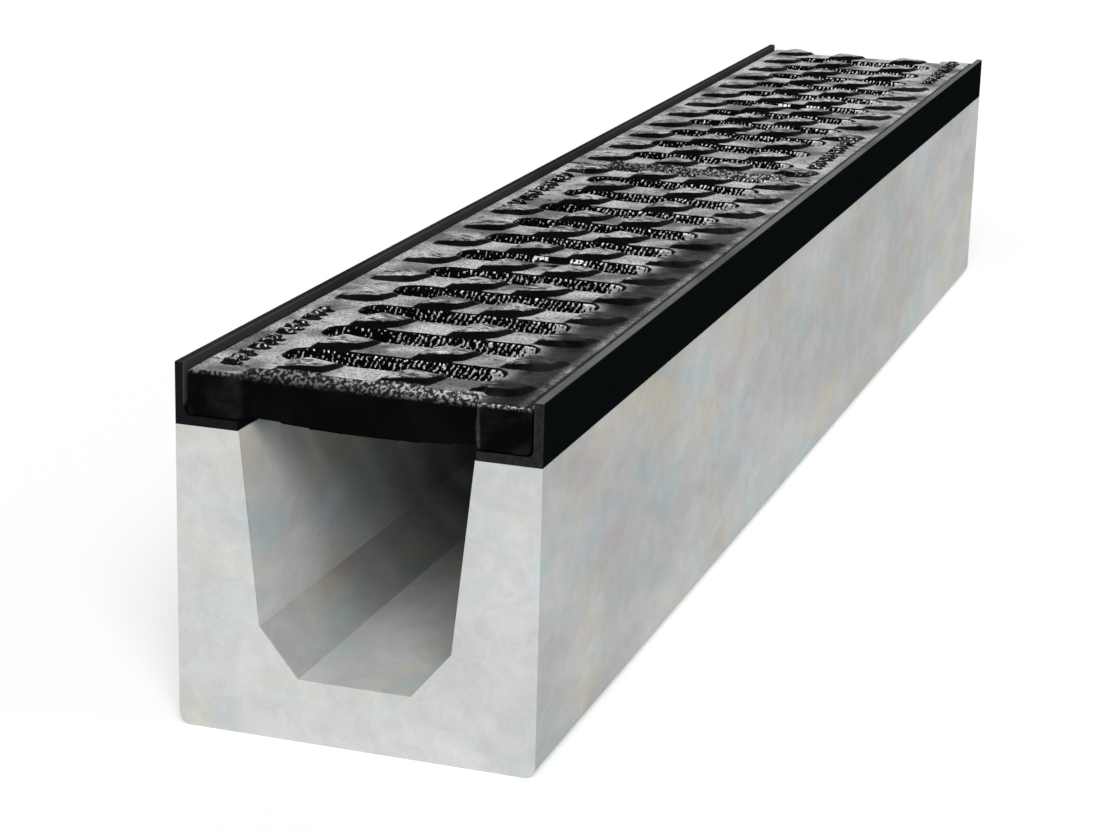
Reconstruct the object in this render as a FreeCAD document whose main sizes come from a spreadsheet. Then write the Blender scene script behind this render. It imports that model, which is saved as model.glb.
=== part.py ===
"""Concrete drainage channel with steel edge rails and two bolted cast iron slot gratings.

Frame: millimetres, +Z up, +Y along the channel, origin at the middle of the underside.
"""
import FreeCAD, Part
import math
import os

import Sketcher

GRATINGS = 2
BARS_PER_GRATING = 12
SLOTS_PER_GRATING = BARS_PER_GRATING - 1
NEAR_PLAIN_BARS = 3
FAR_PLAIN_BARS = 2
LAST_PADDED_BARS = 1
ANCHORS_PER_RAIL = 4
SOCKET_SIDES = 6

SIZES = {
    # Concrete body
    "channel_length": 1000.0,
    "channel_width": 160.0,
    "seat_height": 133.0,
    "floor_thickness": 28.0,
    "trough_top_width": 103.0,
    "trough_break_width": 85.5,
    "trough_floor_width": 50.5,
    "trough_bevel_height": 21.0,
    "bottom_edge_radius": 6.0,
    # Edge rails, an angle section
    "rail_height": 27.0,
    "rail_thickness": 4.0,
    "rail_setback": 0.5,
    "rail_root_radius": 3.0,
    "rail_lip_radius": 0.8,
    # Rail anchors, bent strips cast into the walls
    "anchor_width": 25.0,
    "anchor_thickness": 4.0,
    "anchor_depth": 45.0,
    "anchor_hook": 10.0,
    # Gratings
    "grating_side_gap": 1.0,
    "grating_end_gap": 0.5,
    "grating_drop": 3.0,
    "grating_edge_radius": 2.0,
    "slot_width": 20.8,
    "slot_length": 97.0,
    "slot_corner_radius": 9.0,
    "end_notch_relief": 2.5,
    "end_notch_radius": 6.0,
    "lug_edge_bevel": 2.5,
    "end_wall_bevel": 3.0,
    "belly_side_gap": 2.5,
    "belly_shoulder_depth": 0.8,
    "belly_depth": 2.9,
    # Anti-slip pads, slanted leaves as deep as a bar with broad sloping flanks
    "tread_reach": 26.5,
    "tread_rim": 21.5,
    "tread_corner": 4.5,
    "tread_margin": 0.8,
    "tread_height": 3.0,
    "tread_flank": 42.0,
    "tread_inner_column": 16.0,
    "tread_shifted_column": 30.0,
    "tread_outer_column": 55.0,
    # Locking: a bolt through the boss of each grating into a bar under the rails
    "boss_length": 26.0,
    "boss_drop": 3.5,
    "boss_root": 2.0,
    "bolt_diameter": 8.0,
    "bolt_head_diameter": 13.0,
    "bolt_head_height": 8.0,
    "bolt_head_recess": 1.0,
    "bolt_head_clearance": 0.75,
    "bolt_hole_clearance": 0.5,
    "bolt_thread_clearance": 0.1,
    "bolt_tip": 5.0,
    "bolt_socket_width": 6.0,
    "bolt_socket_depth": 4.0,
    "lock_bar_width": 25.0,
    "lock_bar_thickness": 8.0,
    "lock_bar_reach": 8.0,
    "lock_pocket_depth": 10.0,
    "lock_pocket_length": 45.0,
    "lock_pocket_height": 16.0,
}

# Places worked out from the sizes
HALF_WIDTH = "sizes.channel_width / 2"
HALF_TROUGH = "sizes.trough_top_width / 2"
TROUGH_BREAK = "sizes.floor_thickness + sizes.trough_bevel_height"
RAIL_TOP = "sizes.seat_height + sizes.rail_height"
RAIL_TOE = "sizes.trough_top_width / 2 + sizes.rail_setback"
RAIL_LEDGE = "sizes.seat_height + sizes.rail_thickness"
WALL_MIDDLE = "(sizes.channel_width + sizes.trough_top_width) / 4"
ANCHOR_PITCH = f"sizes.channel_length / {ANCHORS_PER_RAIL}"
GRATING_TOP = f"{RAIL_TOP} - sizes.grating_drop"
GRATING_HALF_WIDTH = f"{HALF_WIDTH} - sizes.rail_thickness - sizes.grating_side_gap"
GRATING_LENGTH = f"sizes.channel_length / {GRATINGS} - 2 * sizes.grating_end_gap"
BAR_PITCH = f"sizes.channel_length / {GRATINGS * BARS_PER_GRATING}"
BAR_WIDTH = f"{BAR_PITCH} - sizes.slot_width"
BELLY_HALF = f"{HALF_TROUGH} - sizes.belly_side_gap"
BELLY_EDGE = f"{RAIL_LEDGE} - sizes.belly_shoulder_depth"
BELLY_LOW = f"{BELLY_EDGE} - sizes.belly_depth"
BOSS_TOP = f"{GRATING_TOP} - sizes.boss_drop"
BOLT_SEAT = f"{BOSS_TOP} - sizes.bolt_head_recess - sizes.bolt_head_height"
LOCK_BAR_LOW = "sizes.seat_height - sizes.lock_bar_thickness"
BOLT_END = f"{LOCK_BAR_LOW} - sizes.bolt_tip"

doc = FreeCAD.newDocument("drainage_channel")
sheet = doc.addObject("Spreadsheet::Sheet", "sizes")
for row, (alias, value) in enumerate(SIZES.items(), start=1):
    sheet.set(f"A{row}", alias)
    sheet.set(f"B{row}", str(value))
    sheet.setAlias(f"B{row}", alias)
doc.recompute()

sub_parts = []


def number(formula):
    """The value that a formula of sheet sizes has now."""
    return float(sheet.evalExpression(formula))


def new_body(label):
    """Start a sub-part whose label names its file."""
    body = doc.addObject("PartDesign::Body", label)
    body.Label = label
    sub_parts.append(body)
    return body


def origin_feature(body, role):
    """An origin plane or axis of a body."""
    return next(feature for feature in body.Origin.OriginFeatures if feature.Role == role)


def new_sketch(body, name, plane, offset=None):
    """Attach a sketch to an origin plane, moved along the plane's normal by a formula."""
    sketch = body.newObject("Sketcher::SketchObject", name)
    sketch.AttachmentSupport = [(origin_feature(body, plane), "")]
    sketch.MapMode = "FlatFace"
    if offset:
        sketch.setExpression("AttachmentOffset.Base.z", offset)
    return sketch


def constrain(sketch, kind, references, formula):
    """Add a sketch dimension that follows a formula."""
    index = sketch.addConstraint(Sketcher.Constraint(kind, *references, number(formula)))
    sketch.setExpression(f"Constraints[{index}]", formula)


def arc_between(start, end, radius):
    """A counter-clockwise arc of less than half a turn from start to end."""
    chord = end - start
    reach = math.sqrt(max(radius ** 2 - (chord.Length / 2) ** 2, 0.0))
    outward = FreeCAD.Vector(chord.y, -chord.x, 0).normalize()
    middle = (start + end) / 2 + outward * (radius - reach)
    return Part.Arc(start, middle, end)


def draw_loop(sketch, corners, arcs=None):
    """Draw a closed counter-clockwise loop.

    Each corner is a pair of formulas. An edge is straight unless arcs gives its radius by edge number.
    """
    arcs = arcs or {}
    points = [FreeCAD.Vector(number(across), number(along), 0) for across, along in corners]
    edges = []
    for index, start in enumerate(points):
        end = points[(index + 1) % len(points)]
        if index in arcs:
            edge = arc_between(start, end, number(arcs[index]))
        else:
            edge = Part.LineSegment(start, end)
        edges.append(sketch.addGeometry(edge, False))
    for index, edge in enumerate(edges):
        following = edges[(index + 1) % len(edges)]
        sketch.addConstraint(Sketcher.Constraint("Coincident", edge, 2, following, 1))
    for edge, (across, along) in zip(edges, corners):
        constrain(sketch, "DistanceX", (-1, 1, edge, 1), across)
        constrain(sketch, "DistanceY", (-1, 1, edge, 1), along)
    for index, radius in arcs.items():
        constrain(sketch, "Radius", (edges[index],), radius)


def draw_rectangle(sketch, left, right, low, high):
    """Draw a rectangle between four formulas."""
    draw_loop(sketch, [(left, low), (right, low), (right, high), (left, high)])


def draw_rounded_rectangle(sketch, half_across, half_along, middle, radius):
    """Draw a rectangle with four round corners, centred across, at a middle along."""
    right, left = f"{half_across}", f"-({half_across})"
    low, high = f"{middle} - ({half_along})", f"{middle} + ({half_along})"
    corners = [
        (f"{left} + {radius}", low), (f"{right} - {radius}", low),
        (right, f"{low} + {radius}"), (right, f"{high} - {radius}"),
        (f"{right} - {radius}", high), (f"{left} + {radius}", high),
        (left, f"{high} - {radius}"), (left, f"{low} + {radius}"),
    ]
    draw_loop(sketch, corners, {1: radius, 3: radius, 5: radius, 7: radius})


def draw_circle(sketch, diameter):
    """Draw a circle round the sketch origin."""
    circle = Part.Circle(FreeCAD.Vector(), FreeCAD.Vector(0, 0, 1), number(diameter) / 2)
    edge = sketch.addGeometry(circle, False)
    sketch.addConstraint(Sketcher.Constraint("Coincident", edge, 3, -1, 1))
    constrain(sketch, "Diameter", (edge,), diameter)


def extrude(body, kind, name, sketch, length=None, symmetric=False, upward=False, taper=None):
    """Pad or pocket a sketch by a length, or right through where no length is given."""
    feature = body.newObject(f"PartDesign::{kind}", name)
    feature.Profile = sketch
    if length:
        feature.setExpression("Length", length)
    else:
        feature.Type = "ThroughAll"
    if symmetric:
        feature.SideType = "Symmetric"
    feature.Reversed = upward
    if taper:
        feature.setExpression("TaperAngle", taper)
    doc.recompute()
    return feature


def repeat(body, name, original, axis, pitch, count):
    """Repeat a feature along an axis of the body."""
    pattern = body.newObject("PartDesign::LinearPattern", name)
    pattern.Originals = [original]
    pattern.Direction = (origin_feature(body, axis), [""])
    pattern.Mode = "Spacing"
    pattern.setExpression("Offset", pitch)
    pattern.Occurrences = count
    body.Tip = pattern
    doc.recompute()
    return pattern


def dress_edges(body, kind, name, wanted):
    """Start a fillet or chamfer on every edge of the body that the test wanted picks."""
    base = body.Tip
    names = [f"Edge{index}" for index, edge in enumerate(base.Shape.Edges, start=1) if wanted(edge)]
    feature = body.newObject(f"PartDesign::{kind}", name)
    feature.Base = (base, names)
    return feature


def round_edges(body, name, radius, wanted):
    """Fillet the wanted edges."""
    dress_edges(body, "Fillet", name, wanted).setExpression("Radius", radius)
    doc.recompute()


def bevel_edges(body, name, size, wanted):
    """Chamfer the wanted edges."""
    dress_edges(body, "Chamfer", name, wanted).setExpression("Size", size)
    doc.recompute()


def same(first, second):
    """Whether two lengths agree."""
    return abs(first - second) < 0.01


def runs_along(edge, axis):
    """Whether an edge is straight along one axis."""
    return edge.Curve.TypeId == "Part::GeomLine" and same(abs(edge.Curve.Direction.dot(axis)), 1)


def draw_anchor_profile(sketch, side):
    """Draw the section of an anchor: a strip down the wall and a hook towards the trough."""
    half = "sizes.anchor_thickness / 2"
    low = "sizes.seat_height - sizes.anchor_depth"
    outer, inner = f"{WALL_MIDDLE} + {half}", f"{WALL_MIDDLE} - {half}"
    hook = f"{inner} - sizes.anchor_hook"
    corners = [
        (hook, low), (outer, low), (outer, "sizes.seat_height"), (inner, "sizes.seat_height"),
        (inner, f"{low} + sizes.anchor_thickness"), (hook, f"{low} + sizes.anchor_thickness"),
    ]
    if side < 0:
        corners = [(f"-({across})", along) for across, along in reversed(corners)]
    draw_loop(sketch, corners)


def make_channel():
    """The concrete body: a trough section, pockets for the locking bars and sockets for the anchors."""
    body = new_body("channel_body")
    section = new_sketch(body, "channel_section", "XZ_Plane")
    outer = [
        (f"-({HALF_WIDTH})", "0"), (HALF_WIDTH, "0"),
        (HALF_WIDTH, "sizes.seat_height"),
    ]
    right_wall = [
        (HALF_TROUGH, "sizes.seat_height"), ("sizes.trough_break_width / 2", TROUGH_BREAK),
        ("sizes.trough_floor_width / 2", "sizes.floor_thickness"),
    ]
    left_wall = [(f"-({across})", along) for across, along in reversed(right_wall)]
    draw_loop(section, outer + right_wall + left_wall + [(f"-({HALF_WIDTH})", "sizes.seat_height")])
    extrude(body, "Pad", "channel_run", section, "sizes.channel_length", symmetric=True)

    along = FreeCAD.Vector(0, 1, 0)
    round_edges(body, "bottom_edges", "sizes.bottom_edge_radius",
                lambda edge: runs_along(edge, along) and same(edge.CenterOfMass.z, 0))

    pocket_half = f"{HALF_TROUGH} + sizes.lock_pocket_depth"
    lock_middle = f"sizes.channel_length / {2 * GRATINGS}"
    pockets = new_sketch(body, "lock_pocket_outline", "XY_Plane", "sizes.seat_height")
    draw_rectangle(pockets, f"-({pocket_half})", pocket_half,
                   f"-{lock_middle} - sizes.lock_pocket_length / 2",
                   f"-{lock_middle} + sizes.lock_pocket_length / 2")
    first_pocket = extrude(body, "Pocket", "lock_pocket", pockets, "sizes.lock_pocket_height")
    repeat(body, "lock_pockets", first_pocket, "Y_Axis", f"sizes.channel_length / {GRATINGS}", GRATINGS)

    for side, word in ((-1, "left"), (1, "right")):
        socket = new_sketch(body, f"anchor_socket_outline_{word}", "XZ_Plane", first_anchor_offset())
        draw_anchor_profile(socket, side)
        first_socket = extrude(body, "Pocket", f"anchor_socket_{word}", socket, "sizes.anchor_width",
                               symmetric=True)
        repeat(body, f"anchor_sockets_{word}", first_socket, "Y_Axis", ANCHOR_PITCH, ANCHORS_PER_RAIL)


def first_anchor_offset():
    """How far the first anchor lies towards the front, which is where the XZ plane's normal points."""
    return f"{ANCHOR_PITCH} * {(ANCHORS_PER_RAIL - 1) / 2}"


def make_rail(side, word):
    """A steel angle along one top edge, with a rounded lip and root."""
    body = new_body(f"edge_rail_{word}")
    section = new_sketch(body, f"rail_section_{word}", "XZ_Plane")
    inner_face = f"{HALF_WIDTH} - sizes.rail_thickness"
    corners = [
        (RAIL_TOE, "sizes.seat_height"), (HALF_WIDTH, "sizes.seat_height"), (HALF_WIDTH, RAIL_TOP),
        (inner_face, RAIL_TOP), (inner_face, RAIL_LEDGE), (RAIL_TOE, RAIL_LEDGE),
    ]
    if side < 0:
        corners = [(f"-({across})", along) for across, along in reversed(corners)]
    draw_loop(section, corners)
    extrude(body, "Pad", f"rail_run_{word}", section, "sizes.channel_length", symmetric=True)

    along = FreeCAD.Vector(0, 1, 0)
    top, ledge, inner = number(RAIL_TOP), number(RAIL_LEDGE), number(inner_face)
    round_edges(body, f"rail_lip_{word}", "sizes.rail_lip_radius",
                lambda edge: runs_along(edge, along) and same(edge.CenterOfMass.z, top))
    round_edges(body, f"rail_root_{word}", "sizes.rail_root_radius",
                lambda edge: (runs_along(edge, along) and same(edge.CenterOfMass.z, ledge)
                              and same(abs(edge.CenterOfMass.x), inner)))


def make_anchors(side, word):
    """The strips that hold one rail in the concrete."""
    for index in range(ANCHORS_PER_RAIL):
        body = new_body(f"rail_anchor_{word}_{index + 1}")
        profile = new_sketch(body, f"anchor_profile_{word}_{index + 1}", "XZ_Plane")
        draw_anchor_profile(profile, side)
        extrude(body, "Pad", f"anchor_strip_{word}_{index + 1}", profile, "sizes.anchor_width",
                symmetric=True)
        steps = index - (ANCHORS_PER_RAIL - 1) / 2
        body.setExpression("Placement.Base.y", f"{ANCHOR_PITCH} * {steps}")


def draw_tread(sketch, middle_across, middle_along):
    """Draw the outline of one pad: a slanted four-sided leaf whose two blunt corners are bevelled."""
    half_reach, half_depth = "sizes.tread_reach / 2", f"(({BAR_WIDTH}) / 2 - sizes.tread_margin)"
    lean, depth = "(sizes.tread_reach - sizes.tread_rim)", f"(2 * {half_depth})"
    side = f"sqrt({lean} ^ 2 + {depth} ^ 2)"
    blunt_corner = f"sizes.tread_rim - {half_reach}"
    right_half = [
        (f"{blunt_corner} - sizes.tread_corner", f"-{half_depth}"),
        (f"{blunt_corner} + sizes.tread_corner * {lean} / {side}",
         f"sizes.tread_corner * {depth} / {side} - {half_depth}"),
        (half_reach, half_depth),
    ]
    left_half = [(f"-({across})", f"-({along})") for across, along in right_half]
    draw_loop(sketch, [(f"{middle_across} + ({across})", f"{middle_along} + ({along})")
                       for across, along in right_half + left_half])


def make_treads(body, word):
    """The raised pads on the bars. Some bars have a plain left flange and a shifted pad beside it."""
    inner, outer = "sizes.tread_inner_column", "sizes.tread_outer_column"
    shifted = "sizes.tread_shifted_column"
    last_bars = BARS_PER_GRATING - LAST_PADDED_BARS
    far_bars = last_bars - FAR_PLAIN_BARS
    for run, columns, first_bar, end_bar in (
        ("right", (inner, outer), 0, BARS_PER_GRATING),
        ("near_shifted", (f"-{shifted}",), 0, NEAR_PLAIN_BARS),
        ("left", (f"-{inner}", f"-{outer}"), NEAR_PLAIN_BARS, far_bars),
        ("far_shifted", (f"-{shifted}",), far_bars, last_bars),
        ("far_left", (f"-{inner}", f"-{outer}"), last_bars, BARS_PER_GRATING),
    ):
        outlines = new_sketch(body, f"tread_outlines_{run}_{word}", "XY_Plane", GRATING_TOP)
        for column in columns:
            draw_tread(outlines, column, f"{BAR_PITCH} * {first_bar - (BARS_PER_GRATING - 1) / 2}")
        treads = extrude(body, "Pad", f"treads_{run}_{word}", outlines, "sizes.tread_height",
                         taper="-sizes.tread_flank")
        if end_bar - first_bar > 1:
            repeat(body, f"tread_rows_{run}_{word}", treads, "Y_Axis", BAR_PITCH, end_bar - first_bar)


def make_grating(word, steps):
    """One cast grating: bellied section, end notches, slots, bolt boss and pads."""
    body = new_body(f"grating_{word}")
    section = new_sketch(body, f"grating_section_{word}", "XZ_Plane")
    corners = [
        (f"-({BELLY_HALF})", BELLY_EDGE), (BELLY_HALF, BELLY_EDGE), (BELLY_HALF, RAIL_LEDGE),
        (GRATING_HALF_WIDTH, RAIL_LEDGE), (GRATING_HALF_WIDTH, GRATING_TOP),
        (f"-({GRATING_HALF_WIDTH})", GRATING_TOP), (f"-({GRATING_HALF_WIDTH})", RAIL_LEDGE),
        (f"-({BELLY_HALF})", RAIL_LEDGE),
    ]
    belly_radius = f"({BELLY_HALF}) ^ 2 / (2 * sizes.belly_depth) + sizes.belly_depth / 2"
    draw_loop(section, corners, {0: belly_radius})
    extrude(body, "Pad", f"grating_blank_{word}", section, GRATING_LENGTH, symmetric=True)

    make_end_notches(body, word)
    round_grating(body, word)
    make_slots(body, word)
    make_boss(body, word)
    make_treads(body, word)
    bevel_end_walls(body, word)
    body.setExpression("Placement.Base.y", f"sizes.channel_length / {GRATINGS} * {steps}")
    doc.recompute()
    return body


def make_turned_grating(word, original, steps):
    """The same casting again, turned half round."""
    body = new_body(f"grating_{word}")
    casting = body.newObject("PartDesign::FeatureBase", f"casting_{word}")
    casting.BaseFeature = original
    body.Tip = casting
    body.Placement = FreeCAD.Placement(FreeCAD.Vector(), FreeCAD.Rotation(FreeCAD.Vector(0, 0, 1), 180))
    body.setExpression("Placement.Base.y", f"sizes.channel_length / {GRATINGS} * {steps}")
    doc.recompute()


def round_grating(body, word):
    """Round the top rim, and the foot edges that lie in the roots of the rails."""
    top, ledge, side = number(GRATING_TOP), number(RAIL_LEDGE), number(GRATING_HALF_WIDTH)
    end = number(f"({GRATING_LENGTH}) / 2")
    round_edges(body, f"grating_rim_{word}", "sizes.grating_edge_radius",
                lambda edge: (same(edge.CenterOfMass.z, top)
                              and (same(abs(edge.CenterOfMass.x), side)
                                   or same(abs(edge.CenterOfMass.y), end))))
    along = FreeCAD.Vector(0, 1, 0)
    round_edges(body, f"grating_foot_{word}", "sizes.rail_root_radius",
                lambda edge: (runs_along(edge, along) and same(edge.CenterOfMass.z, ledge)
                              and same(abs(edge.CenterOfMass.x), side)))


def make_end_notches(body, word):
    """Open half slots at both ends, which leave a lug at each corner."""
    half_across = "sizes.slot_length / 2 + sizes.end_notch_relief"
    half_along = "sizes.slot_width / 2"
    for end, sign in (("near", "-"), ("far", "")):
        outline = new_sketch(body, f"notch_outline_{end}_{word}", "XY_Plane", GRATING_TOP)
        middle = f"{sign}(sizes.channel_length / {2 * GRATINGS})"
        draw_rounded_rectangle(outline, half_across, half_along, middle, "sizes.end_notch_radius")
        extrude(body, "Pocket", f"notch_{end}_{word}", outline)
    upward, end = FreeCAD.Vector(0, 0, 1), number(f"({GRATING_LENGTH}) / 2")
    notch_side = number(half_across)
    bevel_edges(body, f"lug_edges_{word}", "sizes.lug_edge_bevel",
                lambda edge: (runs_along(edge, upward) and same(abs(edge.CenterOfMass.y), end)
                              and same(abs(edge.CenterOfMass.x), notch_side)))


def bevel_end_walls(body, word):
    """Bevel the top edges of both end walls between the lugs, and the pads above them."""
    outline = new_sketch(body, f"end_wall_bevel_outline_{word}", "YZ_Plane")
    wall = f"(sizes.channel_length / {2 * GRATINGS} - sizes.slot_width / 2)"
    rise = "(sizes.tread_height + sizes.end_wall_bevel)"
    outer, inner = f"{wall} + sizes.end_wall_bevel", f"{wall} - sizes.end_wall_bevel - {rise}"
    notch_width = "sizes.slot_length + 2 * sizes.end_notch_relief"
    low, high = f"{GRATING_TOP} - 2 * sizes.end_wall_bevel", f"{GRATING_TOP} + {rise}"
    draw_loop(outline, [(f"-({outer})", low), (f"-({inner})", high), (f"-({outer})", high)])
    draw_loop(outline, [(outer, low), (outer, high), (inner, high)])
    extrude(body, "Pocket", f"end_wall_bevel_{word}", outline, notch_width, symmetric=True)


def make_slots(body, word):
    """The full slots between the bars."""
    outline = new_sketch(body, f"slot_outline_{word}", "XY_Plane", GRATING_TOP)
    first_slot = f"-{BAR_PITCH} * {(SLOTS_PER_GRATING - 1) / 2}"
    draw_rounded_rectangle(outline, "sizes.slot_length / 2", "sizes.slot_width / 2", first_slot,
                           "sizes.slot_corner_radius")
    slot = extrude(body, "Pocket", f"slot_{word}", outline)
    repeat(body, f"slots_{word}", slot, "Y_Axis", BAR_PITCH, SLOTS_PER_GRATING)


def make_boss(body, word):
    """The bolt boss across the middle slot, bored and counterbored."""
    outline = new_sketch(body, f"boss_outline_{word}", "XY_Plane", BOSS_TOP)
    half_along = "sizes.slot_width / 2 + sizes.boss_root"
    draw_rectangle(outline, "-sizes.boss_length / 2", "sizes.boss_length / 2", f"-({half_along})", half_along)
    extrude(body, "Pad", f"boss_{word}", outline, f"{BOSS_TOP} - ({BELLY_LOW})", upward=True)

    hole = new_sketch(body, f"bolt_hole_outline_{word}", "XY_Plane", BOSS_TOP)
    draw_circle(hole, "sizes.bolt_diameter + 2 * sizes.bolt_hole_clearance")
    extrude(body, "Pocket", f"bolt_hole_{word}", hole)
    counterbore = new_sketch(body, f"counterbore_outline_{word}", "XY_Plane", BOSS_TOP)
    draw_circle(counterbore, "sizes.bolt_head_diameter + 2 * sizes.bolt_head_clearance")
    extrude(body, "Pocket", f"counterbore_{word}", counterbore, f"{BOSS_TOP} - ({BOLT_SEAT})")


def make_lock_bar(word, steps):
    """The bar under one grating, its ends under both rails, with a bolt hole in its middle."""
    body = new_body(f"lock_bar_{word}")
    outline = new_sketch(body, f"lock_bar_outline_{word}", "XY_Plane", LOCK_BAR_LOW)
    half_across = f"{HALF_TROUGH} + sizes.lock_bar_reach"
    draw_rectangle(outline, f"-({half_across})", half_across,
                   "-sizes.lock_bar_width / 2", "sizes.lock_bar_width / 2")
    extrude(body, "Pad", f"lock_bar_blank_{word}", outline, "sizes.lock_bar_thickness")
    hole = new_sketch(body, f"lock_bar_hole_outline_{word}", "XY_Plane", "sizes.seat_height")
    draw_circle(hole, "sizes.bolt_diameter + 2 * sizes.bolt_thread_clearance")
    extrude(body, "Pocket", f"lock_bar_hole_{word}", hole)
    body.setExpression("Placement.Base.y", f"sizes.channel_length / {GRATINGS} * {steps}")


def make_lock_bolt(word, steps):
    """A round head bolt with a six-sided socket, from its seat in the boss through the locking bar."""
    body = new_body(f"lock_bolt_{word}")
    head = new_sketch(body, f"bolt_head_outline_{word}", "XY_Plane", BOLT_SEAT)
    draw_circle(head, "sizes.bolt_head_diameter")
    extrude(body, "Pad", f"bolt_head_{word}", head, "sizes.bolt_head_height")
    shank = new_sketch(body, f"bolt_shank_outline_{word}", "XY_Plane", BOLT_END)
    draw_circle(shank, "sizes.bolt_diameter")
    extrude(body, "Pad", f"bolt_shank_{word}", shank, f"{BOLT_SEAT} - ({BOLT_END})")

    socket = new_sketch(body, f"bolt_socket_outline_{word}", "XY_Plane",
                        f"{BOLT_SEAT} + sizes.bolt_head_height")
    corner_radius = f"sizes.bolt_socket_width / 2 / cos({180 / SOCKET_SIDES} deg)"
    corners = []
    for index in range(SOCKET_SIDES):
        turn = f"{(index + 0.5) * 360 / SOCKET_SIDES} deg"
        corners.append((f"{corner_radius} * cos({turn})", f"{corner_radius} * sin({turn})"))
    draw_loop(socket, corners)
    extrude(body, "Pocket", f"bolt_socket_{word}", socket, "sizes.bolt_socket_depth")
    body.setExpression("Placement.Base.y", f"sizes.channel_length / {GRATINGS} * {steps}")


def check_document():
    """Stop if any object failed or any sub-part has no sound solid."""
    for item in doc.Objects:
        if "Invalid" in item.State or "Error" in item.State:
            raise RuntimeError(f"{item.Label} failed: {item.State}")
    for part in sub_parts:
        if part.Shape.isNull() or not part.Shape.isValid() or len(part.Shape.Solids) != 1:
            raise RuntimeError(f"{part.Label} is not one sound solid")


make_channel()
for rail_side, rail_word in ((-1, "left"), (1, "right")):
    make_rail(rail_side, rail_word)
    make_anchors(rail_side, rail_word)
front_grating = make_grating("front", -0.5)
make_turned_grating("rear", front_grating, 0.5)
for lock_word, lock_steps in (("front", -0.5), ("rear", 0.5)):
    make_lock_bar(lock_word, lock_steps)
    make_lock_bolt(lock_word, lock_steps)

doc.recompute()
check_document()
os.makedirs("parts", exist_ok=True)
for part in sub_parts:
    part.Shape.exportStep(f"parts/{part.Label}.step")
    box = part.Shape.BoundBox
    print(f"{part.Label}: volume {part.Shape.Volume:.0f} mm3, y {box.YMin:.2f} to {box.YMax:.2f}")
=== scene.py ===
"""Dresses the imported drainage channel: concrete, painted rails, cast gratings, floor, light and camera.

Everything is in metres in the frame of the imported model: +Z up, +Y along the channel.
"""

import logging
import math
import random
from dataclasses import dataclass, field
from enum import Enum
from typing import Union

import bmesh
import bpy
import numpy as np
from mathutils import Matrix, Quaternion, Vector, noise

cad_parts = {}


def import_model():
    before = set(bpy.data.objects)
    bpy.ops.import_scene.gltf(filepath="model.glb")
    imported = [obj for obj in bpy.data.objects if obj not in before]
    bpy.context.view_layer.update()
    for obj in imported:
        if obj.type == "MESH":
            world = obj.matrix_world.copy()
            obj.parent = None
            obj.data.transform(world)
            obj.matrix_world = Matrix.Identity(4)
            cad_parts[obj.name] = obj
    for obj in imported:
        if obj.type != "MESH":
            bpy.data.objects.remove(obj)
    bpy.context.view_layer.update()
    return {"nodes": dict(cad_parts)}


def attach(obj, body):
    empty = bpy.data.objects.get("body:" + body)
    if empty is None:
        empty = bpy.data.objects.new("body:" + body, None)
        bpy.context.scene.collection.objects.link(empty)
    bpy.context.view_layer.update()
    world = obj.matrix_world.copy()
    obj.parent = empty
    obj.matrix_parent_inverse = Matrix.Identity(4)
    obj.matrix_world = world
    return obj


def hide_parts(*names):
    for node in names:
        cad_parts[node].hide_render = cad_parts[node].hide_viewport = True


LOG = logging.getLogger("drainage_channel")
MM = 0.001
WELD_REACH = 0.005 * MM
WHITE = (1.0, 1.0, 1.0, 1.0)

Socket = bpy.types.NodeSocket
Value = Union[Socket, float]
Nodes = dict[str, bpy.types.Object]
Pair = tuple[float, float]
Triple = tuple[float, float, float]
Colour = Triple
# Where a soft step starts and ends and, unless they are 0 and 1, the results before and after it.
Band = tuple[float, ...]


class Side(Enum):
    """The two long sides of the channel."""

    LEFT = "left"
    RIGHT = "right"


class Place(Enum):
    """The two gratings, by their place along the channel, with their turn about the vertical."""

    FRONT = "front"
    REAR = "rear"

    @property
    def turn(self) -> float:
        """How the casting is turned: 1 as the front one lies, -1 half round."""
        return 1.0 if self is Place.FRONT else -1.0


class FinishSlot(Enum):
    """Two material slot names, concrete and grating iron."""

    CONCRETE = "concrete"
    GRATING_IRON = "grating_iron"


@dataclass(frozen=True)
class Clouds:
    """A noise pattern: its size, its finer layers, factors on the coordinates, and how far it is stirred."""

    size: float
    detail: float = 2.0
    stretch: Triple = (1.0, 1.0, 1.0)
    distortion: float = 0.0


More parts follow.
